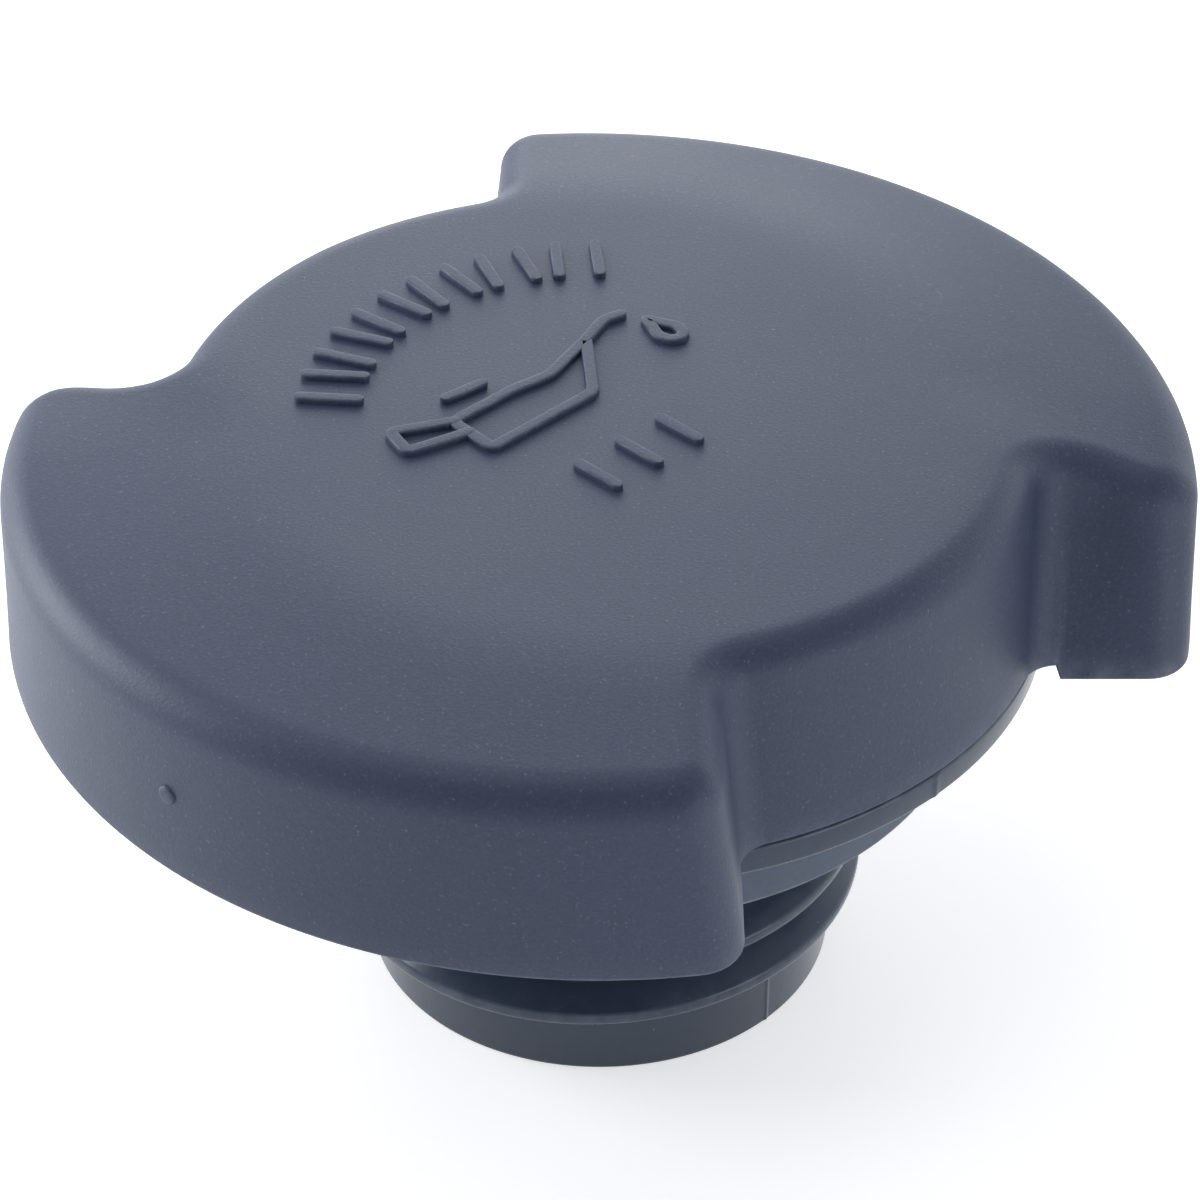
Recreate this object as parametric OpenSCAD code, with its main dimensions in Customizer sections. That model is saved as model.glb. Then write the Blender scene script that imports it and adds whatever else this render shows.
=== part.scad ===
// Oil filler cap: a two-lobed grip cover on a threaded neck insert with a sealing ring.
// The cap stands on the end face of its neck, with the thread's axis on Z and sizes in millimetres.

/* [Neck] */
// Outside radius of the plain neck
neck_r = 14.2; // [13:0.1:15]
// Radius of the neck's hollow, open below
neck_bore_r = 11.8; // [9:0.1:12.2]
// Height from the end face to the lower face of the sealing ring
neck_len = 18; // [17:0.5:30]
// Thickness of the web that closes the neck
web_t = 2; // [1.2:0.1:3]
// Chamfer on the outer edge of the end face
neck_chamfer = 0.4; // [0.1:0.1:0.8]

/* [Thread] */
// Radius over the thread's crest
thread_r = 16; // [15.4:0.1:17]
// Rise of the thread in one turn
thread_pitch = 3.5; // [3:0.25:4]
// Width of the flat crest
crest_w = 0.75; // [0.4:0.05:1]
// Slope of each flank from the square
flank_angle = 30; // [15:1:32]
// Height of the crest's middle where the thread starts
thread_start_z = 4.2; // [3:0.1:6]
// Direction of the thread's start, round from the X axis
thread_start_angle = 130; // [0:5:355]
// Number of turns
thread_turns = 2.6; // [1.5:0.1:3]
// Angle over which the thread rises from the neck at each end
thread_fade = 50; // [30:5:90]

/* [Flange] */
// Radius of the flange
flange_r = 25.95; // [24.5:0.1:27]
// Thickness of the flange at its rim
flange_t = 1.7; // [1.2:0.1:2.5]
// Radius of the step that backs the sealing ring
step_r = 21; // [20:0.1:22]
// Height of the step below the flange
step_h = 2.8; // [2:0.1:5]
// Wall thickness of the step
step_wall = 2; // [1.5:0.1:2.5]
// Thickness of the step's floor
step_floor = 2.2; // [1.5:0.1:3]

/* [Sealing ring] */
// Width of the sealing ring, from the neck outwards
seal_band = 7.4; // [6:0.1:9]
// Thickness of the sealing ring
seal_t = 3.5; // [2:0.1:5]
// Radial clearance between the sealing ring and the neck
seal_clear = 0.05; // [0.02:0.01:0.2]
// Bevel of the ring's outer lower edge
seal_edge = 0.35; // [0.1:0.05:0.6]
// Gap between the thread's crest and the ring's flat sealing face, seen from below
seal_face_gap = 1.2; // [1.1:0.1:2.5]
// Height of the relief inside the sealing face
seal_relief = 1.2; // [0.5:0.1:1.8]

/* [Cover] */
// Radius over the lobes at the skirt's lower edge
cover_r = 34.3; // [33:0.1:38]
// Height of the cover above the flange
cover_h = 12; // [10:0.5:16]
// Height by which the lobes hang below the flange's top
skirt_drop = 0.8; // [0.4:0.1:1.5]
// Wall thickness of the cover
cover_wall = 2.2; // [1.6:0.1:2.6]
// Draft of the lobes' outer wall
skirt_draft = 2; // [0:0.25:4]
// Radius of the recess walls at their lower edge
recess_r = 26; // [25:0.1:27]
// Draft of the recess walls and the thumb faces
recess_draft = 6.4; // [2:0.2:8]
// Distance of the thumb face from the centre plane, at the lower edge
thumb_face = 7.4; // [6:0.1:9]
// Distance of the finger face from the centre plane, at the lower edge
finger_face = 8.9; // [8:0.1:10]
// Draft of the finger face, which leans further back
finger_draft = 18; // [8:0.5:20]
// Depth of the hollow in the finger face, at its top
finger_scoop = 1.2; // [0:0.1:1.5]
// Rounding of the lobes' outer corners, seen from above
corner_r = 2.6; // [2.4:0.1:4]
// Rounding where a lobe's end face runs into the recess wall
root_r = 2.4; // [1.5:0.1:4]
// Rounding of the inner corners of the hollow lobes
inner_corner_r = 0.8; // [0.4:0.1:1.5]
// Rounding of the cover's top edge
edge_r = 2.1; // [1.2:0.1:2.3]
// Rounding of the skirt's lower edges
rim_r = 0.35; // [0.2:0.05:0.7]

/* [Shoulders] */
// Fall of a lobe's top at the edge by its thumb face
fall_thumb = 0.85; // [0:0.05:2]
// Fall of a lobe's top at the edge where its shoulder is widest
fall_wide = 1.85; // [0.5:0.05:2.5]
// Fall of a lobe's top at the edge by its finger face
fall_finger = 2.8; // [0.5:0.1:3]
// Radius where the fall starts by the thumb face
shoulder_thumb_r = 24.4; // [23:0.1:26]
// Radius where the fall starts at its widest
shoulder_wide_r = 20.3; // [18:0.1:23]
// Radius where the fall starts by the finger face
shoulder_finger_r = 23.6; // [22:0.1:26]
// Part of the lobe, from the finger face, where the fall is widest
shoulder_wide_at = 0.2; // [0.1:0.05:0.4]
// Half width of the soft bend where the fall starts
shoulder_soft = 2.5; // [1:0.1:4]

/* [Spigot] */
// Wall thickness of the ring that plugs the cover into the insert
spigot_wall = 2; // [1.5:0.1:2.5]
// Radial clearance of the spigot in the insert
spigot_clear = 0.1; // [0.05:0.01:0.2]
// Gap under the spigot, so that the cover seats on the flange
spigot_gap = 0.3; // [0.2:0.05:0.6]

/* [Emblem] */
// Height of the raised marks on the top
mark_h = 0.4; // [0.2:0.05:0.6]
// Width of the raised strokes
mark_w = 0.7; // [0.5:0.05:1]
// Scale of the oil can in the middle of the top
can_size = 1; // [0.8:0.05:1.1]
// Turn of the marks, seen from above
mark_turn = 45; // [0:1:359]
// Number of bar pairs in the arc over the can
arc_marks = 6; // [3:1:8]
// Angle from one pair to the next
arc_step = 16; // [12:1:18]
// Radius to the middle of the arc's bars
arc_r = 15.2; // [14:0.1:15.3]
// Length of the arc's bars
arc_bar = 3.2; // [2:0.1:3.3]
// Number of bars in the row under the can
row_marks = 3; // [2:1:4]
// Spacing of the row's bars
row_step = 3.2; // [2:0.1:4]
// Length of the row's bars
row_bar = 2.8; // [2:0.1:4]

/* [Hidden] */
$fn = 96;

seal_inner_r = neck_r + seal_clear;
seal_r = seal_inner_r + seal_band;
seal_face_r = thread_r + seal_face_gap;
seal_top_z = neck_len + seal_t;
flange_z = seal_top_z + step_h;
flange_top_z = flange_z + flange_t;
cover_top_z = flange_top_z + cover_h;
skirt_z = flange_top_z - skirt_drop;
pocket_r = step_r - step_wall;
pocket_z = seal_top_z + step_floor;
spigot_r = pocket_r - spigot_clear;
spigot_z = pocket_z + spigot_gap;
// Reach of a cut past the face that it opens
cut_over = 1;
// Depth to which the marks are rooted in the top
mark_root = 0.5;

function mix(a, b, t) = a + (b - a) * t;
function clamp01(t) = min(1, max(0, t));
function polar(r, a) = [r * cos(a), r * sin(a)];

// Points on an arc, without its last one
function arc(c, r, a0, a1, n) = [for (i = [0:n - 1]) c + polar(r, mix(a0, a1, i / n))];
function line(p, q, n) = [for (i = [0:n - 1]) mix(p, q, i / n)];
// Points on a line that bows towards Y by some depth
function bowed(p, q, depth, n) = [
    for (t = [0:1 / n:1 - 0.5 / n])
    mix(p, q, t) + [0, 4 * depth * t * (1 - t)]
];
// Direction of a point, between 0 and 360
function heading(p) = (atan2(p[1], p[0]) + 360) % 360;

// Outline of the cover: each half turn has a lobe, its thumb face, a recess and a finger face.
lobe_steps = 18;
corner_steps = 4;
face_steps = 3;
root_steps = 4;
recess_steps = 9;
function half_outline(ro, rr, thumb, finger, scoop, rc, rf) =
    let (
        low_c = [-sqrt(pow(ro - rc, 2) - pow(finger - rc, 2)), finger - rc],
        high_c = [thumb - rc, -sqrt(pow(ro - rc, 2) - pow(thumb - rc, 2))],
        root_a = [thumb + rf, -sqrt(pow(rr + rf, 2) - pow(thumb + rf, 2))],
        root_b = [sqrt(pow(rr + rf, 2) - pow(finger + rf, 2)), -finger - rf]
    )
    concat(
        arc(low_c, rc, 90, heading(low_c), corner_steps),
        arc([0, 0], ro, heading(low_c), heading(high_c), lobe_steps),
        arc(high_c, rc, heading(high_c), 360, corner_steps),
        line([thumb, high_c[1]], [thumb, root_a[1]], face_steps),
        arc(root_a, rf, 180, heading(root_a) - 180, root_steps),
        arc([0, 0], rr, heading(root_a), heading(root_b), recess_steps),
        arc(root_b, rf, heading(root_b) - 180, 90, root_steps),
        bowed([root_b[0], -finger], [-low_c[0], -finger], scoop, face_steps)
    );
function outline(ro, rr, thumb, finger, scoop, rc, rf) =
    let (half = half_outline(ro, rr, thumb, finger, scoop, rc, rf))
    concat(half, [for (p = half) -p]);

// The outline at a height, moved inwards: drafted walls all start from the flange's top.
// The last value is the part kept of the finger face's hollow.
function wall_outline(h, inset, rc, rf, hollow = 1) =
    let (slant = h * tan(recess_draft))
    outline(
        cover_r - (h + skirt_drop) * tan(skirt_draft) - inset,
        recess_r - slant - inset,
        thumb_face - slant - inset,
        finger_face - h * tan(finger_draft) - inset,
        hollow * finger_scoop * h / (cover_h - edge_r),
        rc,
        rf
    );

half_count = 2 * (corner_steps + face_steps + root_steps) + lobe_steps + recess_steps;
// First and last points of a half outline that belong to its lobe
lobe_from = half_count - face_steps;
lobe_to = 2 * corner_steps + lobe_steps + face_steps;
function on_lobe(i) = (i % half_count) <= lobe_to || (i % half_count) >= lobe_from;

// Fall of the top below its flat middle
finger_heading = 180 - asin(finger_face / cover_r);
thumb_heading = 360 - acos(thumb_face / cover_r);
lobe_span = thumb_heading - finger_heading;
// Angle past the finger face; each recess is split between the lobes on either side of it
recess_span = 180 - lobe_span;
function past_finger(p) = (heading(p) - finger_heading + recess_span / 2 + 360) % 180 - recess_span / 2;
// Value along a lobe, from its finger face by its widest shoulder to its thumb face
function along_lobe(t, at_finger, at_wide, at_thumb) = t < shoulder_wide_at
    ? mix(at_finger, at_wide, t / shoulder_wide_at)
    : mix(at_wide, at_thumb, (t - shoulder_wide_at) / (1 - shoulder_wide_at));
function soft_ramp(s) = s < -shoulder_soft ? 0
    : s > shoulder_soft ? s
    : pow(s + shoulder_soft, 2) / (4 * shoulder_soft);
function fall(p) =
    let (
        a = past_finger(p),
        t = clamp01(a / lobe_span),
        outside = max(-a, a - lobe_span, 0),
        fade = clamp01(1 - outside / (recess_span / 2)),
        start = along_lobe(t, shoulder_finger_r, shoulder_wide_r, shoulder_thumb_r),
        full = along_lobe(t, fall_finger, fall_wide, fall_thumb)
    )
    fade * full * soft_ramp(norm(p) - start) / (cover_r - start);

// A ring of points at its own heights
function lift(ring, zs) = [for (i = [0:len(ring) - 1]) [ring[i][0], ring[i][1], zs[i]]];
function top_heights(ring) = [for (p = ring) cover_top_z - fall(p)];

edge_steps = 5;
// Rounded top edge: the wall turns in over the edge's radius
function edge_ring(k) =
    let (
        a = 90 * k / edge_steps,
        inset = edge_r * (1 - cos(a)),
        base = wall_outline(cover_h - edge_r, inset, corner_r - inset, root_r + inset)
    )
    lift(base, [for (z = top_heights(base)) z - edge_r * (1 - sin(a))]);

// The top and the roof's underside run in by narrower outlines, over which the finger hollow dies out,
// and from the last of them by spokes to a flat circle in the middle.
middle_r = 15;
shelf_w = 1.5;
shelf_count = 2;
function shelf(k) = wall_outline(
    cover_h - edge_r,
    edge_r + k * shelf_w,
    corner_r - edge_r,
    root_r + edge_r + k * shelf_w,
    1 - k / shelf_count
);
last_shelf = shelf(shelf_count);

// A lobe's spokes end between the lines of its end faces, by some margin, so that no two of them cross.
aim_margin = 3;
aim_first = 180 - asin(last_shelf[0][1] / middle_r) + aim_margin;
aim_last = 270 + asin(last_shelf[lobe_to][0] / middle_r) - aim_margin;
function aim(i) =
    let (side = 180 * floor(i / half_count), j = i % half_count, span = lobe_to + face_steps)
    side + (
        j <= lobe_to ? mix(aim_first, aim_last, (j + face_steps) / span)
        : j < lobe_from ? mix(aim_last, aim_first + 180, (j - lobe_to) / (lobe_from - lobe_to))
        : 180 + mix(aim_first, aim_last, (j - lobe_from) / span)
    );
function spoke_ring(t) = [
    for (i = [0:len(last_shelf) - 1])
    mix(last_shelf[i], polar(middle_r, aim(i)), t)
];
spoke_steps = 3;
spoke_rings = [for (k = [0:spoke_steps]) spoke_ring(k / spoke_steps)];
function top_ring(ring, z_less) = lift(ring, [for (z = top_heights(ring)) z - z_less]);

// Lower rim: the lobes hang lower than the recess walls
function foot(i) = on_lobe(i) ? skirt_z : flange_top_z;
function rim_ring(a, outside) =
    let (
        inset = outside ? rim_r * (1 - sin(a)) : cover_wall - rim_r * (1 - sin(a)),
        rc = outside ? corner_r - inset : inner_corner_r,
        ring = wall_outline(0, inset, rc, root_r + inset)
    )
    lift(ring, [for (i = [0:len(ring) - 1]) foot(i) + rim_r * (1 - cos(a))]);

// Inner faces of the shell, one wall thickness inside the outer ones
roof_round = 0.8;
function inner_ring(inset, less) =
    let (ring = wall_outline(cover_h - edge_r, inset, inner_corner_r, root_r + inset))
    lift(ring, [for (z = top_heights(ring)) z - cover_wall - less]);

cover_rings = concat(
    [for (k = [spoke_steps:-1:0]) top_ring(spoke_rings[k], 0)],
    [for (k = [shelf_count - 1:-1:1]) top_ring(shelf(k), 0)],
    [for (k = [edge_steps:-1:0]) edge_ring(k)],
    [for (a = [90, 45, 0]) rim_ring(a, true)],
    [for (a = [0, 45, 90]) rim_ring(a, false)],
    [inner_ring(cover_wall, roof_round)],
    [inner_ring(cover_wall + roof_round, 0)],
    [for (ring = spoke_rings) top_ring(ring, cover_wall)]
);

// Closed surface through rings of equal length, capped with a flat face at each end
module ring_stack(rings) {
    n = len(rings[0]);
    last = (len(rings) - 1) * n;
    sides = [
        for (k = [0:len(rings) - 2], i = [0:n - 1])
        let (a = k * n + i, b = k * n + (i + 1) % n)
        each [[a, b, a + n], [b, b + n, a + n]]
    ];
    caps = [[for (i = [n - 1:-1:0]) i], [for (i = [0:n - 1]) last + i]];
    polyhedron(points = [for (r = rings) each r], faces = concat(sides, caps), convexity = 8);
}

// Raised marks: an oil can with its drop, an arc of paired bars over it and a row of bars under it
can_body = [[-7.6, 0.8], [0.3, 0.8], [3.9, 5], [-0.2, 3.8], [-2.8, 4.2], [-7.4, 4.2]];
can_handle = [[-7.5, 2.8], [-11.2, 3.8], [-10.6, 5.9], [-7.4, 4.2]];
can_spout = [[3.9, 5], [6.1, 5.8], [7.2, 5.5]];
can_lid = [[-6, 6.2], [-3.6, 5.9]];
drop_middle = [7.9, 2.2];
drop_r = 0.8;
pair_gap = 2.4;
row_middle = [-2.1, -5.2];
hair_w = 0.02;

// Thin line between two points, which an offset later grows to a stroke with round ends
module hair(p, q) {
    side = [p[1] - q[1], q[0] - p[0]] * hair_w / 2 / norm(q - p);
    polygon([p + side, p - side, q - side, q + side]);
}

module path(points) {
    for (i = [0:len(points) - 2])
        hair(points[i], points[i + 1]);
}

module oil_can() {
    path(concat(can_body, [can_body[0]]));
    path(can_handle);
    path(can_spout);
    path(can_lid);
    // The drop: a round below and a tip above
    polygon(concat(
        [for (a = [-200:20:20]) drop_middle + polar(drop_r, a)],
        [drop_middle + [0, 2.4 * drop_r]]
    ));
}

module emblem() {
    scale(can_size)
        oil_can();
    for (k = [0:arc_marks - 1], side = [-0.5, 0.5])
        rotate(arc_step * ((arc_marks - 1) / 2 - k))
            translate([side * pair_gap, arc_r])
                hair([0, -arc_bar / 2], [0, arc_bar / 2]);
    for (k = [0:row_marks - 1])
        translate(row_middle + [row_step * (k - (row_marks - 1) / 2), 0])
            hair([0, -row_bar / 2], [0, row_bar / 2]);
}

module grip_cover() {
    color("#5b6174")
        union() {
            // A resize by nothing keeps the shell and its marks one faceted solid.
            resize([0, 0, 0])
                union() {
                    ring_stack(cover_rings);
                    translate([0, 0, cover_top_z - mark_root])
                        linear_extrude(mark_root + mark_h)
                            offset(r = mark_w / 2, $fn = 16)
                                rotate(mark_turn)
                                    emblem();
                }
            translate([0, 0, spigot_z])
                difference() {
                    cylinder(r = spigot_r, h = cover_top_z - cover_wall / 2 - spigot_z);
                    translate([0, 0, -cut_over])
                        cylinder(r = spigot_r - spigot_wall, h = cover_top_z - spigot_z + cut_over);
                }
        }
}

// Revolved section of the insert, without its thread
module insert_body() {
    rotate_extrude()
        polygon([
            [neck_bore_r, 0],
            [neck_r - neck_chamfer, 0],
            [neck_r, neck_chamfer],
            [neck_r, seal_top_z],
            [step_r, seal_top_z],
            [step_r, flange_z],
            [flange_r, flange_z],
            [flange_r, flange_top_z],
            [pocket_r, flange_top_z],
            [pocket_r, pocket_z],
            [neck_r, pocket_z],
            [neck_r, flange_top_z],
            [0, flange_top_z],
            [0, flange_top_z - web_t],
            [neck_bore_r, flange_top_z - web_t]
        ]);
}

// Helical ridge, sunk a little into the neck, rising from it at both ends
module thread() {
    steps_per_turn = 40;
    steps = ceil(thread_turns * steps_per_turn);
    sink = 0.3;
    low_r = neck_r - sink;
    spread = tan(flank_angle);
    function section(i) =
        let (
            turned = 360 * i / steps_per_turn,
            a = thread_start_angle + turned,
            left = 360 * steps / steps_per_turn - turned,
            rise = clamp01(min(turned, left) / thread_fade),
            tip_r = mix(neck_r - sink / 2, thread_r, sin(90 * rise)),
            z = thread_start_z + thread_pitch * turned / 360,
            half_tip = crest_w / 2,
            half_root = half_tip + (tip_r - low_r) * spread
        )
        [
            for (v = [[low_r, -half_root], [tip_r, -half_tip], [tip_r, half_tip], [low_r, half_root]])
            [v[0] * cos(a), v[0] * sin(a), z + v[1]]
        ];
    points = [for (i = [0:steps]) each section(i)];
    sides = [
        for (i = [0:steps - 1], k = [0:3])
        let (a = 4 * i + k, b = 4 * i + (k + 1) % 4)
        each [[a, b, a + 4], [b, b + 4, a + 4]]
    ];
    ends = [[3, 2, 1, 0], [for (k = [0:3]) 4 * steps + k]];
    polyhedron(points = points, faces = concat(sides, ends), convexity = 10);
}

module neck_insert() {
    color("#3c4150")
        union() {
            insert_body();
            thread();
        }
}

module seal_ring() {
    color("#6f7783")
        translate([0, 0, neck_len])
            rotate_extrude()
                polygon([
                    [seal_face_r, 0],
                    [seal_r - seal_edge, 0],
                    [seal_r, seal_edge],
                    [seal_r, seal_t],
                    [seal_inner_r, seal_t],
                    [seal_inner_r, seal_relief]
                ]);
}

grip_cover();
neck_insert();
seal_ring();
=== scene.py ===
import math

import bmesh
import bpy
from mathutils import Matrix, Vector


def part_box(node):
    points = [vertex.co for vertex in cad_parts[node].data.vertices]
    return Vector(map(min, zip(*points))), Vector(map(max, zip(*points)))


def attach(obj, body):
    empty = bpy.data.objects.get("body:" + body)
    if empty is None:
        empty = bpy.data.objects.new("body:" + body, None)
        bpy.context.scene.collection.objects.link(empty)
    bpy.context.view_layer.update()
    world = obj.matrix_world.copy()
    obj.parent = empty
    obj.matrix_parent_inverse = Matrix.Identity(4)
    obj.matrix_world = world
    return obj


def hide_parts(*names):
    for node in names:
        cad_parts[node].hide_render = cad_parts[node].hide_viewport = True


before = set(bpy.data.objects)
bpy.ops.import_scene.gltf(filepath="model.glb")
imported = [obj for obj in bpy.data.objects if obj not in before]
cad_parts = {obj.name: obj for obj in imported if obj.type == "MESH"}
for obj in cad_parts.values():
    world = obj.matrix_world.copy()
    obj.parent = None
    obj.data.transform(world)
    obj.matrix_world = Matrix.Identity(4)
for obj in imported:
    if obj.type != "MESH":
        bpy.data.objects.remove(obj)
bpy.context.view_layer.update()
print("frame loaded:", ", ".join(sorted(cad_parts)))

mm = 0.001  # lengths below are in millimetres until a mesh is made
weldDistance = 0.002
sharpestBend = 4.0  # per millimetre
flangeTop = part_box("neck_insert")[1].z / mm
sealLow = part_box("seal_ring")[0].z / mm
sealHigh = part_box("seal_ring")[1].z / mm
skirtReach = min(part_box("grip_cover")[1].x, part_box("grip_cover")[1].y) / mm


def mix(a, b, t):
    return a + (b - a) * t


def clamp(x, low=0.0, high=1.0):
    return max(low, min(high, x))


def smoothStep(a, b, x):
    t = clamp((x - a) / (b - a))
    return t * t * (3 - 2 * t)


def polar(r, degrees):
    return (r * math.cos(math.radians(degrees)), r * math.sin(math.radians(degrees)))


def heading(p):
    return math.degrees(math.atan2(p[1], p[0])) % 360


def tangent(degrees):
    return math.tan(math.radians(degrees))


# how sharply the surface bends outwards at a vertex, as one over the radius in millimetres
def outwardBend(vertex):
    ways = [edge.other_vert(vertex).co - vertex.co for edge in vertex.link_edges]
    return clamp(max(-2 * mm * vertex.normal.dot(way) / way.length_squared for way in ways), 0, sharpestBend)


def buildObject(name, points, faces, sharpAngle=40):
    mesh = bpy.data.meshes.new(name)
    mesh.from_pydata([Vector(p) * mm for p in points], [], faces)
    bm = bmesh.new()
    bm.from_mesh(mesh)
    bmesh.ops.remove_doubles(bm, verts=bm.verts, dist=weldDistance * mm)
    bmesh.ops.recalc_face_normals(bm, faces=bm.faces)
    bm.normal_update()
    bend = bm.verts.layers.float.new("outwardBend")
    for vertex in bm.verts:
        vertex[bend] = outwardBend(vertex)
    bm.to_mesh(mesh)
    bm.free()
    mesh.shade_smooth()
    mesh.set_sharp_from_angle(angle=math.radians(sharpAngle))
    obj = bpy.data.objects.new(name, mesh)
    bpy.context.scene.collection.objects.link(obj)
    return obj


# joins rings of equal length into quads; a closed end gets a fan to its own middle
def skinRings(rings, points, faces, closeStart=True, closeEnd=True):
    base = len(points)
    size = len(rings[0])
    for ring in rings:
        points.extend(ring)
    for k in range(len(rings) - 1):
        for i in range(size):
            j = (i + 1) % size
            a = base + k * size
            faces.append((a + i, a + j, a + size + j, a + size + i))
    for wanted, ring, offset in ((closeStart, rings[0], 0), (closeEnd, rings[-1], len(rings) - 1)):
        if wanted:
            middle = len(points)
            points.append(tuple(sum(p[axis] for p in ring) / size for axis in range(3)))
            a = base + offset * size
            faces.extend((a + i, a + (i + 1) % size, middle) for i in range(size))


# camera: the photograph's own view, a long lens looking down on the cap
cameraSettings = {
    "framePixels": 1200,
    "focalPixels": 3655,
    "distance": 214.4,
    "elevation": 36.53,
    "target": (0.03, 0.0, 24.16),
    "sensor": 36.0,
    "clipStart": 0.01,
}


def makeCamera():
    c = cameraSettings
    data = bpy.data.cameras.new("photoCamera")
    data.sensor_width = c["sensor"]
    data.lens = c["sensor"] * c["focalPixels"] / c["framePixels"]
    data.clip_start = c["clipStart"]
    camera = bpy.data.objects.new("photoCamera", data)
    down = math.radians(c["elevation"])
    back = Vector((0, -math.cos(down), math.sin(down))) * c["distance"]
    camera.location = (Vector(c["target"]) + back) * mm
    camera.rotation_euler = (math.pi / 2 - down, 0, 0)
    bpy.context.scene.collection.objects.link(camera)
    bpy.context.scene.camera = camera


makeCamera()
print("camera placed")

# grip cover
coverShape = {
    "height": 12.0,
    "skirtDrop": 0.8,
    "wall": 2.2,
    "skirtDraft": 2.0,
    "recessRadius": 26.0,
    "recessDraft": 6.4,
    "thumbFace": 7.4,
    "fingerFace": 8.9,
    "fingerDraft": 18.0,
    "fingerScoop": 1.2,
    "cornerRadius": 2.6,
    "innerCorner": 0.8,
    "rootRadius": 2.4,
    "edgeRadius": 2.1,
    "rimRadius": 0.35,
    "roofRound": 0.8,
    "roofBevel": 0.3,
    "shelfWidth": 1.5,
    "shelfCount": 2,
    "middleRadius": 15.0,
    "middleRings": (1, 4, 7, 10, 12.5),
    "aimMargin": 3.0,
    "scoopPower": 1.2,
    "spigotRadius": 18.9,
    "spigotWall": 2.0,
    "spigotLow": 24.0,
    "spigotEdge": 0.3,
    "roofRings": (12, 6, 1),
}
# the top falls away over the lobes: values at the finger face, where it is widest, and at the thumb face
shoulder = {
    "fall": (2.5, 1.85, 0.85),
    "start": (23.6, 20.3, 24.4),
    "wideAt": 0.2,
    "straight": 0.6,
    "soft": 2.5,
}
coverSteps = {
    "lobe": 104,
    "corner": 10,
    "face": 18,
    "root": 10,
    "recess": 36,
    "edge": 10,
    "shelf": 4,
    "top": 14,
    "roof": 6,
    "wall": 6,
    "rim": 5,
}
coverTop = flangeTop + coverShape["height"]
skirtLow = flangeTop - coverShape["skirtDrop"]
lobeRadius = skirtReach + coverShape["skirtDrop"] * tangent(coverShape["skirtDraft"])


def arcPoints(centre, r, a0, a1, count):
    out = []
    for i in range(count):
        dx, dy = polar(r, mix(a0, a1, i / count))
        out.append((centre[0] + dx, centre[1] + dy))
    return out


# a straight line, or one that leaves both ends along the first axis and swings over between them
def linePoints(p, q, count, swing=False):
    out = []
    for i in range(count):
        t = i / count
        across = math.sin(math.pi / 2 * t ** coverShape["scoopPower"]) ** 2 if swing else t
        out.append((mix(p[0], q[0], t), mix(p[1], q[1], across)))
    return out


# outline of the cover at a height above the flange, moved inwards; hollow is the part kept of the finger face's scoop,
# which is deepest beside the recess
def coverOutline(height, inset, cornerR, rootR, hollow=1.0):
    c = coverShape
    n = coverSteps
    slant = height * tangent(c["recessDraft"])
    outer = lobeRadius - (max(height, 0) + c["skirtDrop"]) * tangent(c["skirtDraft"]) - inset
    recess = c["recessRadius"] - slant - inset
    thumb = c["thumbFace"] - slant - inset
    finger = c["fingerFace"] - height * tangent(c["fingerDraft"]) - inset
    scooped = finger - hollow * c["fingerScoop"] * max(height, 0) / (c["height"] - c["edgeRadius"])
    lowC = (-math.sqrt((outer - cornerR) ** 2 - (finger - cornerR) ** 2), finger - cornerR)
    highC = (thumb - cornerR, -math.sqrt((outer - cornerR) ** 2 - (thumb - cornerR) ** 2))
    rootA = (thumb + rootR, -math.sqrt((recess + rootR) ** 2 - (thumb + rootR) ** 2))
    rootB = (math.sqrt((recess + rootR) ** 2 - (scooped + rootR) ** 2), -scooped - rootR)
    half = arcPoints(lowC, cornerR, 90, heading(lowC), n["corner"])
    half += arcPoints((0, 0), outer, heading(lowC), heading(highC), n["lobe"])
    half += arcPoints(highC, cornerR, heading(highC), 360, n["corner"])
    half += linePoints((thumb, highC[1]), (thumb, rootA[1]), n["face"])
    half += arcPoints(rootA, rootR, 180, heading(rootA) - 180, n["root"])
    half += arcPoints((0, 0), recess, heading(rootA), heading(rootB), n["recess"])
    half += arcPoints(rootB, rootR, heading(rootB) - 180, 90, n["root"])
    half += linePoints((rootB[0], -scooped), (-lowC[0], -finger), n["face"], swing=True)
    return half + [(-x, -y) for x, y in half]


halfCount = 2 * (coverSteps["corner"] + coverSteps["face"] + coverSteps["root"])
halfCount += coverSteps["lobe"] + coverSteps["recess"]
lobeEnd = 2 * coverSteps["corner"] + coverSteps["lobe"] + coverSteps["face"]


def onLobe(i):
    return i % halfCount <= lobeEnd or i % halfCount >= halfCount - coverSteps["face"]


fingerHeading = 180 - math.degrees(math.asin(coverShape["fingerFace"] / lobeRadius))
thumbHeading = 360 - math.degrees(math.acos(coverShape["thumbFace"] / lobeRadius))
lobeSpan = thumbHeading - fingerHeading
recessSpan = 180 - lobeSpan


def alongLobe(t, values):
    atFinger, atWide, atThumb = values
    if t < shoulder["wideAt"]:
        return mix(atFinger, atWide, smoothStep(0, shoulder["wideAt"], t))
    u = (t - shoulder["wideAt"]) / (1 - shoulder["wideAt"])
    return mix(atWide, atThumb, mix(smoothStep(0, 1, u), u, shoulder["straight"]))


def softRamp(s):
    soft = shoulder["soft"]
    if s < -soft:
        return 0.0
    return s if s > soft else (s + soft) ** 2 / (4 * soft)


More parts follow.
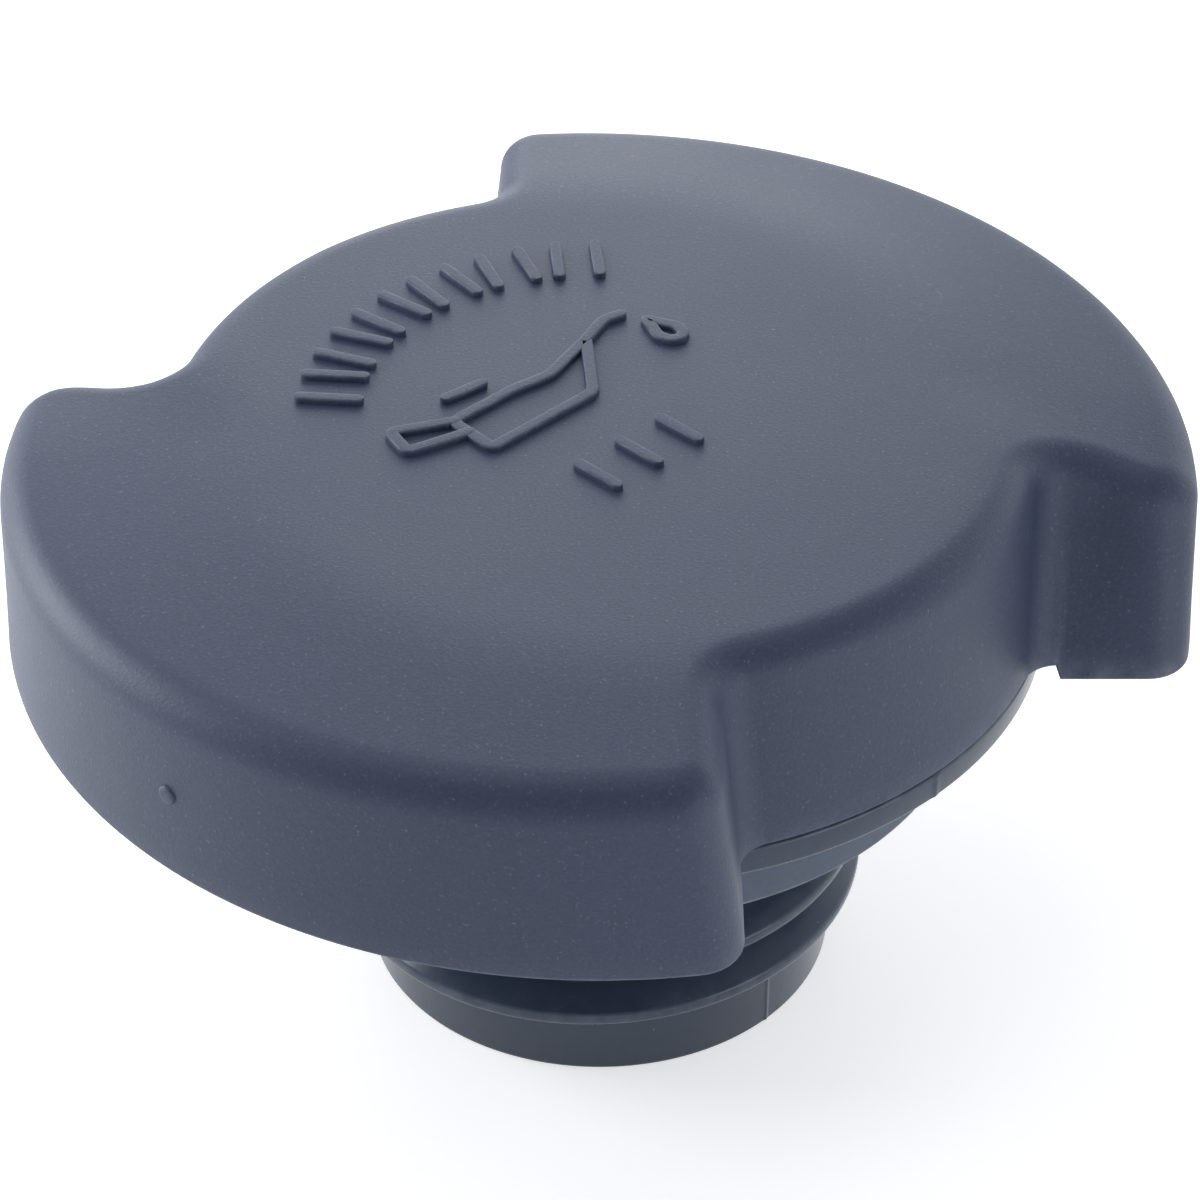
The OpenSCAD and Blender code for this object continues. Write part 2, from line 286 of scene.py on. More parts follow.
def topHeight(p):
    past = (heading(p) - fingerHeading + recessSpan / 2 + 360) % 180 - recessSpan / 2
    t = clamp(past / lobeSpan)
    outside = max(-past, past - lobeSpan, 0.0)
    fade = clamp(1 - outside / (recessSpan / 2))
    start = alongLobe(t, shoulder["start"])
    full = alongLobe(t, shoulder["fall"])
    return coverTop - fade * full * softRamp(math.hypot(*p) - start) / (lobeRadius - start)


def mixRings(a, b, t):
    return [tuple(mix(u, v, t) for u, v in zip(p, q)) for p, q in zip(a, b)]


def shelfOutline(k):
    c = coverShape
    inset = c["edgeRadius"] + k * c["shelfWidth"]
    corner = c["cornerRadius"] - c["edgeRadius"]
    return coverOutline(c["height"] - c["edgeRadius"], inset, corner, c["rootRadius"] + inset, 1 - k / c["shelfCount"])


# a lobe's spokes end between the lines of its end faces, so that no two of them cross
def spokeHeadings(r):
    last = shelfOutline(coverShape["shelfCount"])
    first = 180 - math.degrees(math.asin(last[0][1] / r)) + coverShape["aimMargin"]
    final = 270 + math.degrees(math.asin(last[lobeEnd][0] / r)) - coverShape["aimMargin"]
    lobeStart = halfCount - coverSteps["face"]
    span = lobeEnd + coverSteps["face"]
    out = []
    for i in range(2 * halfCount):
        side, j = 180 * (i // halfCount), i % halfCount
        if j <= lobeEnd:
            out.append(side + mix(first, final, (j + coverSteps["face"]) / span))
        elif j < lobeStart:
            out.append(side + mix(final, first + 180, (j - lobeEnd) / (lobeStart - lobeEnd)))
        else:
            out.append(side + 180 + mix(first, final, (j - lobeStart) / span))
    return out


# outline of the rim: the lobes' walls carry on below the flange's top on their own slopes
def rimOutline(inset, cornerR, rootR):
    low = coverOutline(-coverShape["skirtDrop"], inset, cornerR, rootR)
    high = coverOutline(0, inset, cornerR, rootR)
    return [(*low[i], skirtLow) if onLobe(i) else (*high[i], flangeTop) for i in range(len(high))]


def coverRings():
    c = coverShape
    n = coverSteps
    wallTop = c["height"] - c["edgeRadius"]
    middle = spokeHeadings(c["middleRadius"])
    shelf = shelfOutline(c["shelfCount"])

    def circle(r, z, headings=middle):
        return [(*polar(r, a), z) for a in headings]

    def spokes(t, r, headings, less):
        ring = [tuple(mix(u, v, t) for u, v in zip(p, polar(r, a))) for p, a in zip(shelf, headings)]
        return [(x, y, topHeight((x, y)) - less) for x, y in ring]

    rings = [circle(r, coverTop) for r in c["middleRings"]]
    rings += [spokes(k / n["top"], c["middleRadius"], middle, 0) for k in range(n["top"], -1, -1)]
    shelfSteps = n["shelf"] * c["shelfCount"]
    for k in range(shelfSteps - 1, 0, -1):
        rings.append([(x, y, topHeight((x, y))) for x, y in shelfOutline(k / n["shelf"])])
    for k in range(n["edge"], -1, -1):
        a = math.pi / 2 * k / n["edge"]
        inset = c["edgeRadius"] * (1 - math.cos(a))
        ring = coverOutline(wallTop, inset, c["cornerRadius"] - inset, c["rootRadius"] + inset)
        drop = c["edgeRadius"] * (1 - math.sin(a))
        rings.append([(x, y, topHeight((x, y)) - drop) for x, y in ring])

    def rimRing(k, outside):
        a = math.pi / 2 * k / n["rim"]
        inset = c["rimRadius"] * (1 - math.sin(a))
        if outside:
            ring = rimOutline(inset, c["cornerRadius"] - inset, c["rootRadius"] + inset)
        else:
            ring = rimOutline(c["wall"] - inset, c["innerCorner"], c["rootRadius"] + c["wall"] - inset)
        lift = c["rimRadius"] * (1 - math.cos(a))
        return [(x, y, z + lift) for x, y, z in ring]

    def innerRing(inset, less):
        ring = coverOutline(wallTop, inset, c["innerCorner"], c["rootRadius"] + inset)
        return [(x, y, topHeight((x, y)) - c["wall"] - less) for x, y in ring]

    outerRim = [rimRing(k, True) for k in range(n["rim"], -1, -1)]
    innerRim = [rimRing(k, False) for k in range(n["rim"] + 1)]
    outerTop = rings[-1]
    rings += [mixRings(outerTop, outerRim[0], k / n["wall"]) for k in range(1, n["wall"])]
    rings += outerRim + innerRim
    bevel = c["roofBevel"] * c["roofRound"]
    roofEdge = [innerRing(c["wall"], c["roofRound"]), innerRing(c["wall"] + bevel, bevel)]
    roofEdge.append(innerRing(c["wall"] + c["roofRound"], 0))
    rings += [mixRings(innerRim[-1], roofEdge[0], k / n["wall"]) for k in range(1, n["wall"])]
    rings += roofEdge
    for k in range(shelfSteps - 2, shelfSteps):
        rings.append([(x, y, topHeight((x, y)) - c["wall"]) for x, y in shelfOutline(k / n["shelf"])])
    spigotOut, spigotIn = c["spigotRadius"], c["spigotRadius"] - c["spigotWall"]
    aims = spokeHeadings(spigotOut)
    roof = coverTop - c["wall"]
    low, edge = c["spigotLow"], c["spigotEdge"]
    rings += [spokes(k / n["roof"], spigotOut, aims, c["wall"]) for k in range(n["roof"])]
    rings += [circle(spigotOut, roof, aims), circle(spigotOut, low + edge, aims), circle(spigotOut - edge, low, aims)]
    rings += [circle(spigotIn + edge, low, aims), circle(spigotIn, low + edge, aims), circle(spigotIn, roof, aims)]
    rings += [circle(r, roof, aims) for r in c["roofRings"]]
    return rings


# raised marks: strokes with softened edges, on the flat of the top
marks = {
    "height": 0.38,
    "heightStep": 0.004,
    "heightCount": 5,
    "width": 0.76,
    "cornerReach": 0.45,
    "cornerShare": 0.4,
    "cornerSteps": 4,
    "capSteps": 5,
    "capTurn": 88,
    "turn": 45,
    "arcCount": 6,
    "arcStep": 16,
    "arcRadius": 15.2,
    "arcBar": 3.2,
    "pairGap": 2.4,
    "rowMiddle": (-2.1, -5.2),
    "rowCount": 3,
    "rowStep": 3.2,
    "rowBar": 2.8,
    "body": [(-7.6, 0.8), (0.3, 0.8), (3.9, 5), (-0.2, 3.8), (-2.8, 4.2), (-7.4, 4.2)],
    "handle": [(-7.5, 2.8), (-11.2, 3.8), (-10.6, 5.9), (-7.4, 4.2)],
    "spout": [(3.9, 5), (6.1, 5.8), (7.2, 5.5)],
    "lid": [(-6, 6.2), (-3.6, 5.9)],
    "drop": [
        (7.9, 4.12),
        (7.55, 3.2),
        (7.12, 2.35),
        (7.35, 1.55),
        (7.9, 1.25),
        (8.45, 1.55),
        (8.68, 2.35),
        (8.25, 3.2),
    ],
}


def turned(p, degrees):
    c, s = math.cos(math.radians(degrees)), math.sin(math.radians(degrees))
    return (p[0] * c - p[1] * s, p[0] * s + p[1] * c)


# a stroke's section as a loop: share of the half width, share of the height; it is rooted in the top
strokeSection = [
    (-1.05, -0.8),
    (-1.0, 0.1),
    (-0.97, 0.6),
    (-0.91, 0.87),
    (-0.8, 0.98),
    (-0.6, 1.0),
    (0.0, 1.0),
    (0.6, 1.0),
    (0.8, 0.98),
    (0.91, 0.87),
    (0.97, 0.6),
    (1.0, 0.1),
    (1.05, -0.8),
]


def unitBetween(p, q):
    length = math.hypot(q[0] - p[0], q[1] - p[1])
    return ((q[0] - p[0]) / length, (q[1] - p[1]) / length)


# rounds a path's inner corners, so that a stroke bends instead of kinking
def softPath(path, closed=False):
    out = [] if closed else [path[0]]
    count = len(path)
    reach, share, steps = marks["cornerReach"], marks["cornerShare"], marks["cornerSteps"]
    for i in range(count if closed else count - 2):
        before, corner, after = (path[i - 1], path[i], path[(i + 1) % count]) if closed else path[i : i + 3]
        back, ahead = unitBetween(corner, before), unitBetween(corner, after)
        near = min(reach, share * math.dist(corner, before), share * math.dist(corner, after))
        for k in range(steps + 1):
            t = k / steps
            u, v = near * (1 - t) ** 2, near * t ** 2
            out.append(tuple(c + u * b + v * a for c, b, a in zip(corner, back, ahead)))
    return out if closed else out + [path[-1]]


def addStroke(path, height, points, faces, closed=False):
    half = marks["width"] / 2
    capSteps = marks["capSteps"]
    count = len(path)

    def ringAt(c, side, width):
        return [
            (c[0] + side[0] * d * width, c[1] + side[1] * d * width, coverTop + z * height) for d, z in strokeSection
        ]

    rings = []
    for i in range(count):
        before = unitBetween(path[i - 1], path[i]) if closed or i > 0 else None
        after = unitBetween(path[i], path[(i + 1) % count]) if closed or i < count - 1 else None
        a, b = before or after, after or before
        mid = (a[0] + b[0], a[1] + b[1])
        scale = 2 / (mid[0] ** 2 + mid[1] ** 2)
        rings.append(ringAt(path[i], (-mid[1] * scale, mid[0] * scale), half))
    if closed:
        skinRings(rings + [rings[0]], points, faces, closeStart=False, closeEnd=False)
        return
    caps = []
    for end, away in ((path[0], unitBetween(path[1], path[0])), (path[-1], unitBetween(path[-2], path[-1]))):
        sign = -1 if end is path[0] else 1
        side = (-away[1] * sign, away[0] * sign)
        cap = []
        for k in range(1, capSteps + 1):
            a = math.radians(marks["capTurn"] * k / capSteps)
            centre = (end[0] + away[0] * half * math.sin(a), end[1] + away[1] * half * math.sin(a))
            cap.append(ringAt(centre, side, half * math.cos(a)))
        caps.append(cap)
    skinRings(caps[0][::-1] + rings + caps[1], points, faces)


def addMarks(points, faces):
    m = marks
    strokes = [(softPath(m[key]), m["turn"], False) for key in ("handle", "spout", "lid")]
    strokes += [(softPath(m[key], closed=True), m["turn"], True) for key in ("body", "drop")]
    for k in range(m["arcCount"]):
        around = m["turn"] + m["arcStep"] * ((m["arcCount"] - 1) / 2 - k)
        for side in (-0.5, 0.5):
            bar = [(side * m["pairGap"], m["arcRadius"] + e * m["arcBar"]) for e in (-0.5, 0.5)]
            strokes.append((bar, around, False))
    for k in range(m["rowCount"]):
        x = m["rowMiddle"][0] + m["rowStep"] * (k - (m["rowCount"] - 1) / 2)
        strokes.append(([(x, m["rowMiddle"][1] + e * m["rowBar"]) for e in (-0.5, 0.5)], m["turn"], False))
    # each stroke is a little lower than the last, so that no two tops lie in one plane where they meet
    for k, (path, angle, closed) in enumerate(strokes):
        height = m["height"] - m["heightStep"] * (k % m["heightCount"])
        addStroke([turned(p, angle) for p in path], height, points, faces, closed)


# a small moulded pip low on the front lobe's wall
pip = {
    "around": -131.3,
    "height": 30.5,
    "radius": 0.55,
    "rise": 0.13,
    "sink": 0.2,
    "section": ((1.0, 0.3), (0.85, 0.85), (0.6, 1.0)),
    "segments": 24,
}


def addPip(points, faces):
    wall = lobeRadius - (pip["height"] - skirtLow) * tangent(coverShape["skirtDraft"])
    outward, along = polar(1, pip["around"]), polar(1, pip["around"] + 90)
    profile = [(1.0, -pip["sink"])] + [(width, share * pip["rise"]) for width, share in pip["section"]]
    rings = []
    for width, rise in profile:
        ring = []
        for k in range(pip["segments"]):
            across, up = polar(width * pip["radius"], 360 * k / pip["segments"])
            r = wall + rise
            ring.append((r * outward[0] + across * along[0], r * outward[1] + across * along[1], pip["height"] + up))
        rings.append(ring)
    skinRings(rings, points, faces)


def makeGripCover():
    points, faces = [], []
    skinRings(coverRings(), points, faces)
    addMarks(points, faces)
    addPip(points, faces)
    return buildObject("gripCover", points, faces, sharpAngle=50)


gripCover = makeGripCover()
print("grip cover made:", len(gripCover.data.polygons), "faces")

# neck insert
insertShape = {
    "neckRadius": 14.2,
    "boreRadius": 11.8,
    "webLow": 24.0,
    "stepRadius": 21.0,
    "flangeRadius": 25.93,
    "flangeLow": 24.3,
    "pocketRadius": 19.0,
    "pocketLow": 23.7,
    "edge": 0.25,
    "middle": 0.5,
    "segments": 200,
    "seam": -45,
    "seamHeight": 0.06,
    "seamWidth": 0.12,
    "seamSteps": (-1.2, -0.8, -0.45, -0.2, 0, 0.2, 0.45, 0.8, 1.2),
    "seamFromBore": 1,
    "seamBelowTop": 0.2,
}
threadShape = {
    "radius": 15.98,
    "pitch": 3.5,
    "crest": 0.75,
    "flank": 30,
    "startHeight": 4.2,
    "startAngle": 130,
    "turns": 2.6,
    "fade": 50,
    "perTurn": 120,
    "sink": 0.3,
    "round": 0.14,
    "roundFrom": 0.5,
    "knee": (0.3, 0.25),
}
profileShare = 0.45
profileSteps = 4


# a profile's corners taken off by short arcs of one radius
def roundProfile(corners, radius):
    out = [corners[0]]
    for before, corner, after in zip(corners, corners[1:], corners[2:]):
        toBefore = Vector(before) - Vector(corner)
        toAfter = Vector(after) - Vector(corner)
        reach = min(radius, toBefore.length * profileShare, toAfter.length * profileShare)
        p = Vector(corner) + toBefore.normalized() * reach
        q = Vector(corner) + toAfter.normalized() * reach
        for k in range(profileSteps + 1):
            t = k / profileSteps
            out.append(tuple(p * (1 - t) ** 2 + Vector(corner) * 2 * t * (1 - t) + q * t ** 2))
    out.append(corners[-1])
    return out


def seamLift(angle):
    s = insertShape
    away = min(abs((angle - s["seam"] - turn + 180) % 360 - 180) for turn in (0, 180))
    distance = math.radians(away) * s["neckRadius"]
    return s["seamHeight"] * math.exp(-((distance / s["seamWidth"]) ** 2))


def turningAngles():
    s = insertShape
    angles = {round(360 * i / s["segments"], 4) for i in range(s["segments"])}
    for turn in (0, 180):
        angles |= {round((s["seam"] + turn + d) % 360, 4) for d in s["seamSteps"]}
    return sorted(angles)


def addNeckAndFlange(points, faces):
    s = insertShape
    profile = roundProfile(
        [
            (s["middle"], s["webLow"]),
            (s["boreRadius"], s["webLow"]),
            (s["boreRadius"], 0),
            (s["neckRadius"], 0),
            (s["neckRadius"], sealHigh),
            (s["stepRadius"], sealHigh),
            (s["stepRadius"], s["flangeLow"]),
            (s["flangeRadius"], s["flangeLow"]),
            (s["flangeRadius"], flangeTop),
            (s["pocketRadius"], flangeTop),
            (s["pocketRadius"], s["pocketLow"]),
            (s["neckRadius"], s["pocketLow"]),
            (s["neckRadius"], flangeTop),
            (s["middle"], flangeTop),
        ],
        s["edge"],
    )
    angles = turningAngles()
    rings = []
    for r, z in profile:
        outside = r > s["boreRadius"] + s["seamFromBore"] and z < flangeTop - s["seamBelowTop"]
        rings.append([(*polar(r + (seamLift(a) if outside else 0), a), z) for a in angles])
    skinRings(rings, points, faces)


def addThread(points, faces):
    t = threadShape
    neck = insertShape["neckRadius"]
    steps = math.ceil(t["turns"] * t["perTurn"])
    low = neck - t["sink"]
    spread = tangent(t["flank"])
    kneeIn, kneeUp = t["knee"]
    rings = []
    for i in range(steps + 1):
        gone = 360 * i / t["perTurn"]
        left = 360 * (steps - i) / t["perTurn"]
        rise = clamp(min(gone, left) / t["fade"])
        tip = mix(neck - t["sink"] / 2, t["radius"], math.sin(math.pi / 2 * rise))
        half = t["crest"] / 2
        soft = t["round"] * clamp((tip - neck) / t["roundFrom"])
        ends = [
            (low, half + (tip - low) * spread),
            (tip - soft, half + soft * spread),
            (tip - kneeIn * soft, half - kneeUp * soft),
            (tip, half - soft),
        ]
        section = [(r, -z) for r, z in ends] + [(r, z) for r, z in reversed(ends)]
        angle = t["startAngle"] + gone
        middle = t["startHeight"] + t["pitch"] * gone / 360
        rings.append([(*polar(r, angle), middle + z) for r, z in section])
    skinRings(rings, points, faces)


def makeNeckInsert():
    points, faces = [], []
    addNeckAndFlange(points, faces)
    addThread(points, faces)
    return buildObject("neckInsert", points, faces, sharpAngle=35)


neckInsert = makeNeckInsert()
print("neck insert made:", len(neckInsert.data.polygons), "faces")

# sealing ring
sealShape = {
    "radius": 21.63,
    "innerRadius": 14.25,
    "faceRadius": 17.2,
    "relief": 1.2,
    "edge": 0.35,
    "segments": 200,
}


def makeSealRing():
    s = sealShape
    middle = ((s["innerRadius"] + s["radius"]) / 2, sealHigh)
    profile = roundProfile(
        [
            middle,
            (s["innerRadius"], sealHigh),
            (s["innerRadius"], sealLow + s["relief"]),
            (s["faceRadius"], sealLow),
            (s["radius"], sealLow),
            (s["radius"], sealHigh),
            middle,
        ],
        s["edge"],
    )
    points, faces = [], []
    rings = [[(*polar(r, 360 * i / s["segments"]), z) for i in range(s["segments"])] for r, z in profile]
    skinRings(rings, points, faces, closeStart=False, closeEnd=False)
    return buildObject("sealRing", points, faces, sharpAngle=60)


sealRing = makeSealRing()
print("sealing ring made:", len(sealRing.data.polygons), "faces")


# materials
def addNode(tree, kind, inputs=None, **settings):
    node = tree.nodes.new(kind)
    for key, value in settings.items():
        setattr(node, key, value)
    for key, value in (inputs or {}).items():
        socket = node.inputs[key] if isinstance(key, int) else pickSocket(node, key)
        if isinstance(value, bpy.types.NodeSocket):
            tree.links.new(value, socket)
        else:
            socket.default_value = value
    return node


# a Mix node has several sockets of one name; the enabled one is meant
def pickSocket(node, name):
    return next(s for s in node.inputs if s.name == name and s.enabled)


def colourOut(node):
    return next(s for s in node.outputs if s.enabled)


def useGroup(tree, group, inputs):
    node = tree.nodes.new("ShaderNodeGroup")
    node.node_tree = group
    for key, value in inputs.items():
        if isinstance(value, bpy.types.NodeSocket):
            tree.links.new(value, node.inputs[key])
        else:
            node.inputs[key].default_value = value
    return node


def newGroup(name, inputs, outputs):
    group = bpy.data.node_groups.new(name, "ShaderNodeTree")
    for label, kind, default in inputs:
        socket = group.interface.new_socket(name=label, in_out="INPUT", socket_type=kind)
        if default is not None:
            socket.default_value = default
    for label, kind in outputs:
        group.interface.new_socket(name=label, in_out="OUTPUT", socket_type=kind)
    source = group.nodes.new("NodeGroupInput")
    sink = group.nodes.new("NodeGroupOutput")
    return group, source.outputs, sink.inputs


# spark-eroded mould grain: a fine pitted height, and a mask of pale specks; Size is in millimetres
def makeMouldGrain():
    group, given, out = newGroup(
        "mouldGrain",
        [
            ("Vector", "NodeSocketVector", None),
            ("Size", "NodeSocketFloat", 0.25),
            ("Speck Level", "NodeSocketFloat", 0.68),
        ],
        [("Height", "NodeSocketFloat"), ("Speck", "NodeSocketFloat")],
    )
    scale = addNode(group, "ShaderNodeMath", {0: 1000.0, 1: given["Size"]}, operation="DIVIDE").outputs[0]
    coarse = addNode(
        group, "ShaderNodeTexNoise", {"Vector": given["Vector"], "Scale": scale, "Detail": 3.0, "Roughness": 0.65}
    )
    dots = addNode(group, "ShaderNodeTexNoise", {"Vector": given["Vector"], "Scale": scale, "Detail": 1.0})
    mask = addNode(
        group,
        "ShaderNodeMapRange",
        {"Value": dots.outputs["Fac"], "From Min": given["Speck Level"], "From Max": 0.85},
    )
    group.links.new(coarse.outputs["Fac"], out["Height"])
    group.links.new(mask.outputs["Result"], out["Speck"])
    return group


# slow change of tone over a moulding, as from handling and settled dust
def makeToneDrift():
    group, given, out = newGroup(
        "toneDrift",
        [("Vector", "NodeSocketVector", None), ("Size", "NodeSocketFloat", 12.0)],
        [("Drift", "NodeSocketFloat")],
    )
    scale = addNode(group, "ShaderNodeMath", {0: 1000.0, 1: given["Size"]}, operation="DIVIDE").outputs[0]
    slow = addNode(
        group, "ShaderNodeTexNoise", {"Vector": given["Vector"], "Scale": scale, "Detail": 4.0, "Roughness": 0.55}
    )
    group.links.new(slow.outputs["Fac"], out["Drift"])
    return group


highlightBreakScale = 700.0  # breaks in the painted highlight line, per metre


# painted highlight: a broken pale line along convex corners, where light catches the edges; From and To are bends per
# millimetre
def makeEdgeHighlight():
    group, given, out = newGroup(
        "edgeHighlight",
        [
            ("Vector", "NodeSocketVector", None),
            ("From", "NodeSocketFloat", 0.6),
            ("To", "NodeSocketFloat", 2.5),
        ],
        [("Highlight", "NodeSocketFloat")],
    )
    bend = addNode(group, "ShaderNodeAttribute", attribute_name="outwardBend").outputs["Fac"]
    edge = addNode(group, "ShaderNodeMapRange", {"Value": bend, "From Min": given["From"], "From Max": given["To"]})
    narrow = addNode(group, "ShaderNodeMath", {0: edge.outputs["Result"], 1: 2.0}, operation="POWER")
    noise = addNode(group, "ShaderNodeTexNoise", {"Vector": given["Vector"], "Scale": highlightBreakScale, "Detail": 3.0})
    broken = addNode(group, "ShaderNodeMapRange", {"Value": noise.outputs["Fac"], "From Min": 0.35, "From Max": 0.7})
    paintedHighlight = addNode(
        group, "ShaderNodeMath", {0: narrow.outputs[0], 1: broken.outputs["Result"]}, operation="MULTIPLY"
    )
    group.links.new(paintedHighlight.outputs[0], out["Highlight"])
    return group


mouldGrain = makeMouldGrain()
toneDrift = makeToneDrift()
edgeHighlight = makeEdgeHighlight()

coverFinish = {
    "dark": (0.026, 0.035, 0.070, 1),
    "pale": (0.047, 0.060, 0.110, 1),
    "mottle": 0.7,
    "speck": (0.12, 0.14, 0.19, 1),
    "grainSize": 0.2,
    "grainDepth": 0.03,
    "speckLevel": 0.69,
    "roughness": (0.44, 0.54),
    # painted highlight: pale colour laid along convex edges
    "paintedHighlight": (0.10, 0.115, 0.165, 1),
    "highlightFrom": 0.4,
    "highlightTo": 3.5,
    "specularTint": (0.88, 0.94, 1.0, 1),
}
insertFinish = {
    "dark": (0.028, 0.038, 0.064, 1),
    "pale": (0.040, 0.053, 0.086, 1),
    "mottle": 0.3,
    "speck": (0.12, 0.14, 0.18, 1),
    "grainSize": 0.6,
    "grainDepth": 0.004,
    "speckLevel": 0.76,
    "roughness": (0.16, 0.26),
    # painted highlight: pale colour laid along convex edges
    "paintedHighlight": (0.085, 0.1, 0.14, 1),
    "highlightFrom": 0.5,
    "highlightTo": 4.0,
    "specularTint": (0.84, 0.92, 1.0, 1),
}
sealFinish = {
    "dark": (0.068, 0.088, 0.132, 1),
    "pale": (0.092, 0.115, 0.168, 1),
    "mottle": 0.4,
    "speck": (0.24, 0.26, 0.31, 1),
    "grainSize": 0.4,
    "grainDepth": 0.01,
    "speckLevel": 0.76,
    "roughness": (0.45, 0.6),
    # painted highlight: pale colour laid along convex edges
    "paintedHighlight": (0.24, 0.26, 0.29, 1),
    "highlightFrom": 0.3,
    "highlightTo": 3.0,
    "specularTint": (0.88, 0.94, 1.0, 1),
}


def makeMoulded(name, finish):
    material = bpy.data.materials.new(name)
    material.use_nodes = True
    tree = material.node_tree
    tree.nodes.clear()
    place = addNode(tree, "ShaderNodeTexCoord").outputs["Object"]
    grain = useGroup(
        tree, mouldGrain, {"Vector": place, "Size": finish["grainSize"], "Speck Level": finish["speckLevel"]}
    )
    drift = useGroup(tree, toneDrift, {"Vector": place}).outputs["Drift"]
    paintedHighlight = useGroup(tree, edgeHighlight, {"Vector": place, "From": finish["highlightFrom"], "To": finish["highlightTo"]}).outputs["Highlight"]

    def blend(factor, a, b):
        return colourOut(addNode(tree, "ShaderNodeMix", {"Factor": factor, "A": a, "B": b}, data_type="RGBA"))

    mottle = addNode(
        tree,
        "ShaderNodeMapRange",
        {"Value": grain.outputs["Height"], "From Min": 0.3, "From Max": 0.7, "To Min": 0.0, "To Max": 1.0},
    ).outputs["Result"]
    shade = addNode(tree, "ShaderNodeMix", {"Factor": finish["mottle"], "A": drift, "B": mottle})
    tone = blend(colourOut(shade), finish["dark"], finish["pale"])
    specked = blend(grain.outputs["Speck"], tone, finish["speck"])
    # painted highlight: the pale edge line mixed over the base colour
    highlighted = blend(paintedHighlight, specked, finish["paintedHighlight"])
    low, high = finish["roughness"]
    rough = addNode(tree, "ShaderNodeMapRange", {"Value": drift, "To Min": low, "To Max": high}).outputs["Result"]
    bump = addNode(
        tree, "ShaderNodeBump", {"Height": grain.outputs["Height"], "Distance": finish["grainDepth"] * mm}
    )
    surface = addNode(
        tree,
        "ShaderNodeBsdfPrincipled",
        {
            "Base Color": highlighted,
            "Roughness": rough,
            "Normal": bump.outputs["Normal"],
            "Specular Tint": finish["specularTint"],
        },
    )
    output = addNode(tree, "ShaderNodeOutputMaterial")
    tree.links.new(surface.outputs["BSDF"], output.inputs["Surface"])
    return material


for obj, node, slot, finish in (
    (gripCover, "grip_cover", "cover_plastic", coverFinish),
    (neckInsert, "neck_insert", "insert_plastic", insertFinish),
    (sealRing, "seal_ring", "seal_rubber", sealFinish),
):
    obj.data.materials.append(makeMoulded(slot, finish))
    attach(obj, "root")
    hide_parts(node)
print("materials made")

# floor, light and backdrop: a table of pale paper, a pale sweep that is brightest behind, a wide lamp above and small
# ones close behind, beside and in front of the cap
studio = {
    "floorSize": 3.0,
    "floorColour": (0.8, 0.8, 0.81, 1),
    "floorLift": 0.56,
    "sweepColour": (0.92, 0.96, 1, 1),
    "backLevel": 1.75,
    "frontLevel": 0.6,
    "overheadLevel": 0.2,
    "turnOver": 0.8,
    "climb": (0.25, 0.95),
    "lamps": {
        "overheadLamp": {"place": (-0.1, 0.05, 0.6), "size": 0.6, "power": 0.9},
        "backLamp": {"place": (-0.01, 0.145, 0.09), "size": 0.12, "power": 0.055},
        "sideLamp": {"place": (-0.15, 0.03, 0.07), "size": 0.1, "power": 0.14},
        "fillLamp": {"place": (0.15, -0.12, 0.03), "size": 0.1, "power": 0.05},
    },
}


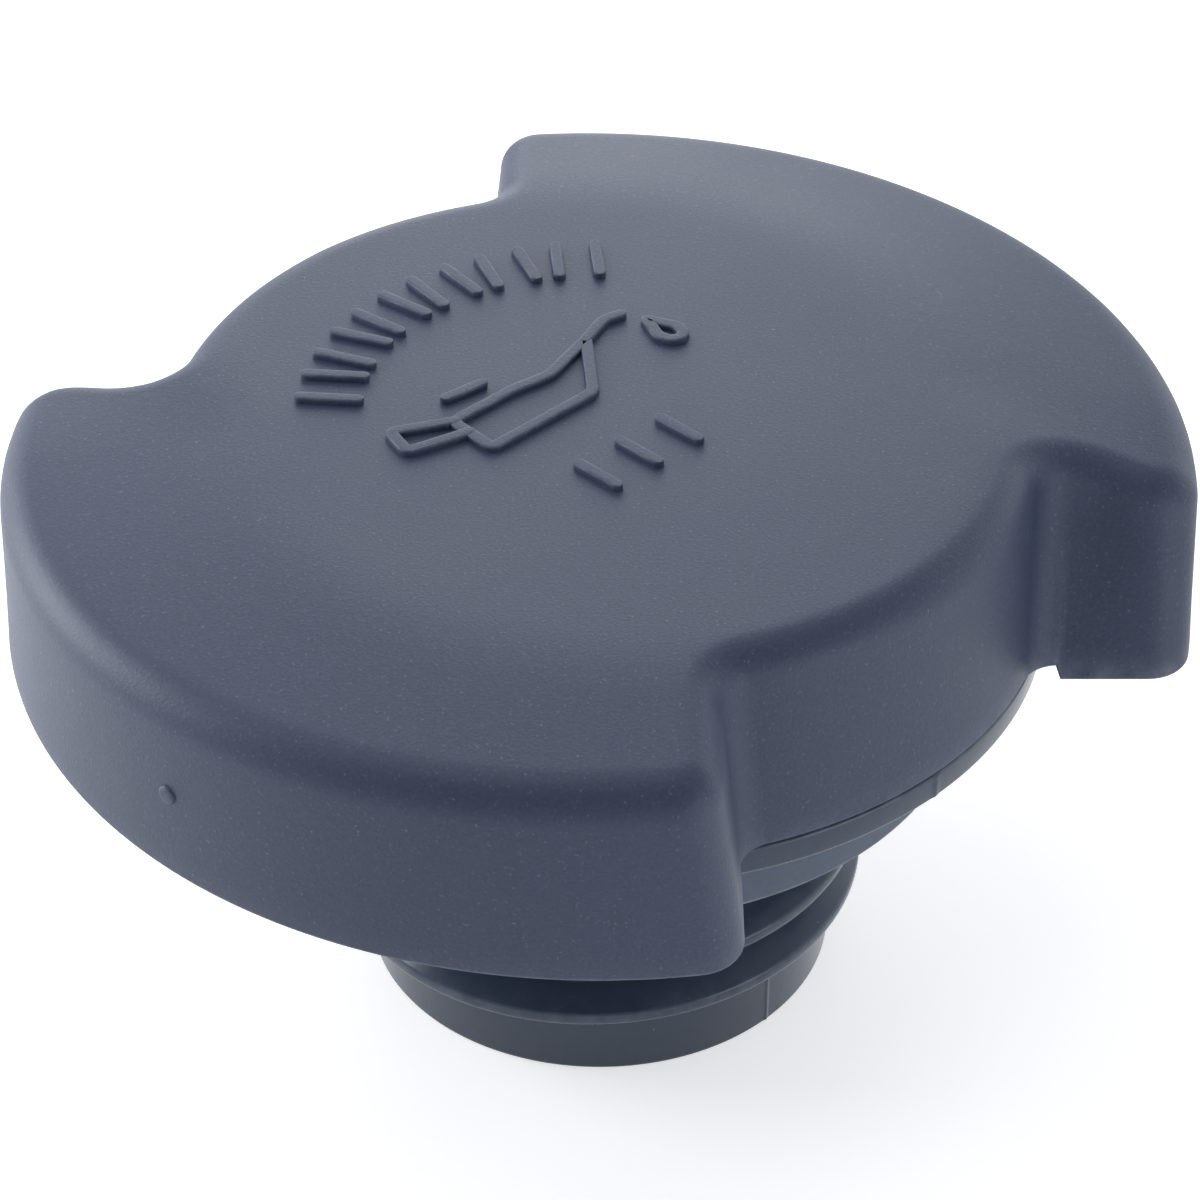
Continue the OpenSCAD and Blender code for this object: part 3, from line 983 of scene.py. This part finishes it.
def makeFloor():
    half = studio["floorSize"] / 2
    mesh = bpy.data.meshes.new("floor")
    mesh.from_pydata([(-half, -half, 0), (half, -half, 0), (half, half, 0), (-half, half, 0)], [], [(0, 1, 2, 3)])
    floor = bpy.data.objects.new("floor", mesh)
    bpy.context.scene.collection.objects.link(floor)
    material = bpy.data.materials.new("floorPaper")
    material.use_nodes = True
    tree = material.node_tree
    surface = tree.nodes["Principled BSDF"]
    surface.inputs["Base Color"].default_value = studio["floorColour"]
    surface.inputs["Roughness"].default_value = 0.9
    surface.inputs["Specular IOR Level"].default_value = 0.1
    surface.inputs["Emission Color"].default_value = (1, 1, 1, 1)
    # the paper is lifted to white for the camera and in reflections, and gives the cap no light of its own
    paths = addNode(tree, "ShaderNodeLightPath").outputs
    seen = addNode(
        tree, "ShaderNodeMath", {0: paths["Is Camera Ray"], 1: paths["Is Glossy Ray"]}, operation="MAXIMUM"
    )
    lift = addNode(tree, "ShaderNodeMath", {0: seen.outputs[0], 1: studio["floorLift"]}, operation="MULTIPLY")
    tree.links.new(lift.outputs[0], surface.inputs["Emission Strength"])
    mesh.materials.append(material)
    return floor


def makeLamps():
    target = Vector((0, 0, coverTop * mm))
    for name, lamp in studio["lamps"].items():
        data = bpy.data.lights.new(name, "AREA")
        data.shape = "DISK"
        data.size = lamp["size"]
        data.energy = lamp["power"]
        obj = bpy.data.objects.new(name, data)
        obj.location = lamp["place"]
        obj.rotation_euler = (target - Vector(lamp["place"])).to_track_quat("-Z", "Y").to_euler()
        bpy.context.scene.collection.objects.link(obj)


def makeWorld():
    world = bpy.data.worlds.new("studioWorld")
    world.use_nodes = True
    tree = world.node_tree
    tree.nodes.clear()
    way = addNode(tree, "ShaderNodeTexCoord").outputs["Generated"]
    parts = addNode(tree, "ShaderNodeSeparateXYZ", {"Vector": way}).outputs
    around = addNode(
        tree,
        "ShaderNodeMapRange",
        {
            "Value": parts["Y"],
            "From Min": -studio["turnOver"],
            "From Max": studio["turnOver"],
            "To Min": studio["frontLevel"],
            "To Max": studio["backLevel"],
        },
        interpolation_type="SMOOTHSTEP",
    ).outputs["Result"]
    low, high = studio["climb"]
    upwards = addNode(
        tree, "ShaderNodeMapRange", {"Value": parts["Z"], "From Min": low, "From Max": high}
    ).outputs["Result"]
    level = colourOut(addNode(tree, "ShaderNodeMix", {"Factor": upwards, "A": around, "B": studio["overheadLevel"]}))
    sweep = addNode(tree, "ShaderNodeBackground", {"Color": studio["sweepColour"], "Strength": level})
    white = addNode(tree, "ShaderNodeBackground", {"Color": (1, 1, 1, 1), "Strength": 1.0})
    paths = addNode(tree, "ShaderNodeLightPath")
    chosen = addNode(tree, "ShaderNodeMixShader")
    tree.links.new(paths.outputs["Is Camera Ray"], chosen.inputs[0])
    tree.links.new(sweep.outputs[0], chosen.inputs[1])
    tree.links.new(white.outputs[0], chosen.inputs[2])
    output = addNode(tree, "ShaderNodeOutputWorld")
    tree.links.new(chosen.outputs[0], output.inputs["Surface"])
    bpy.context.scene.world = world


floor = makeFloor()
makeLamps()
makeWorld()
bpy.context.scene.view_settings.view_transform = "Standard"
print("stage made")
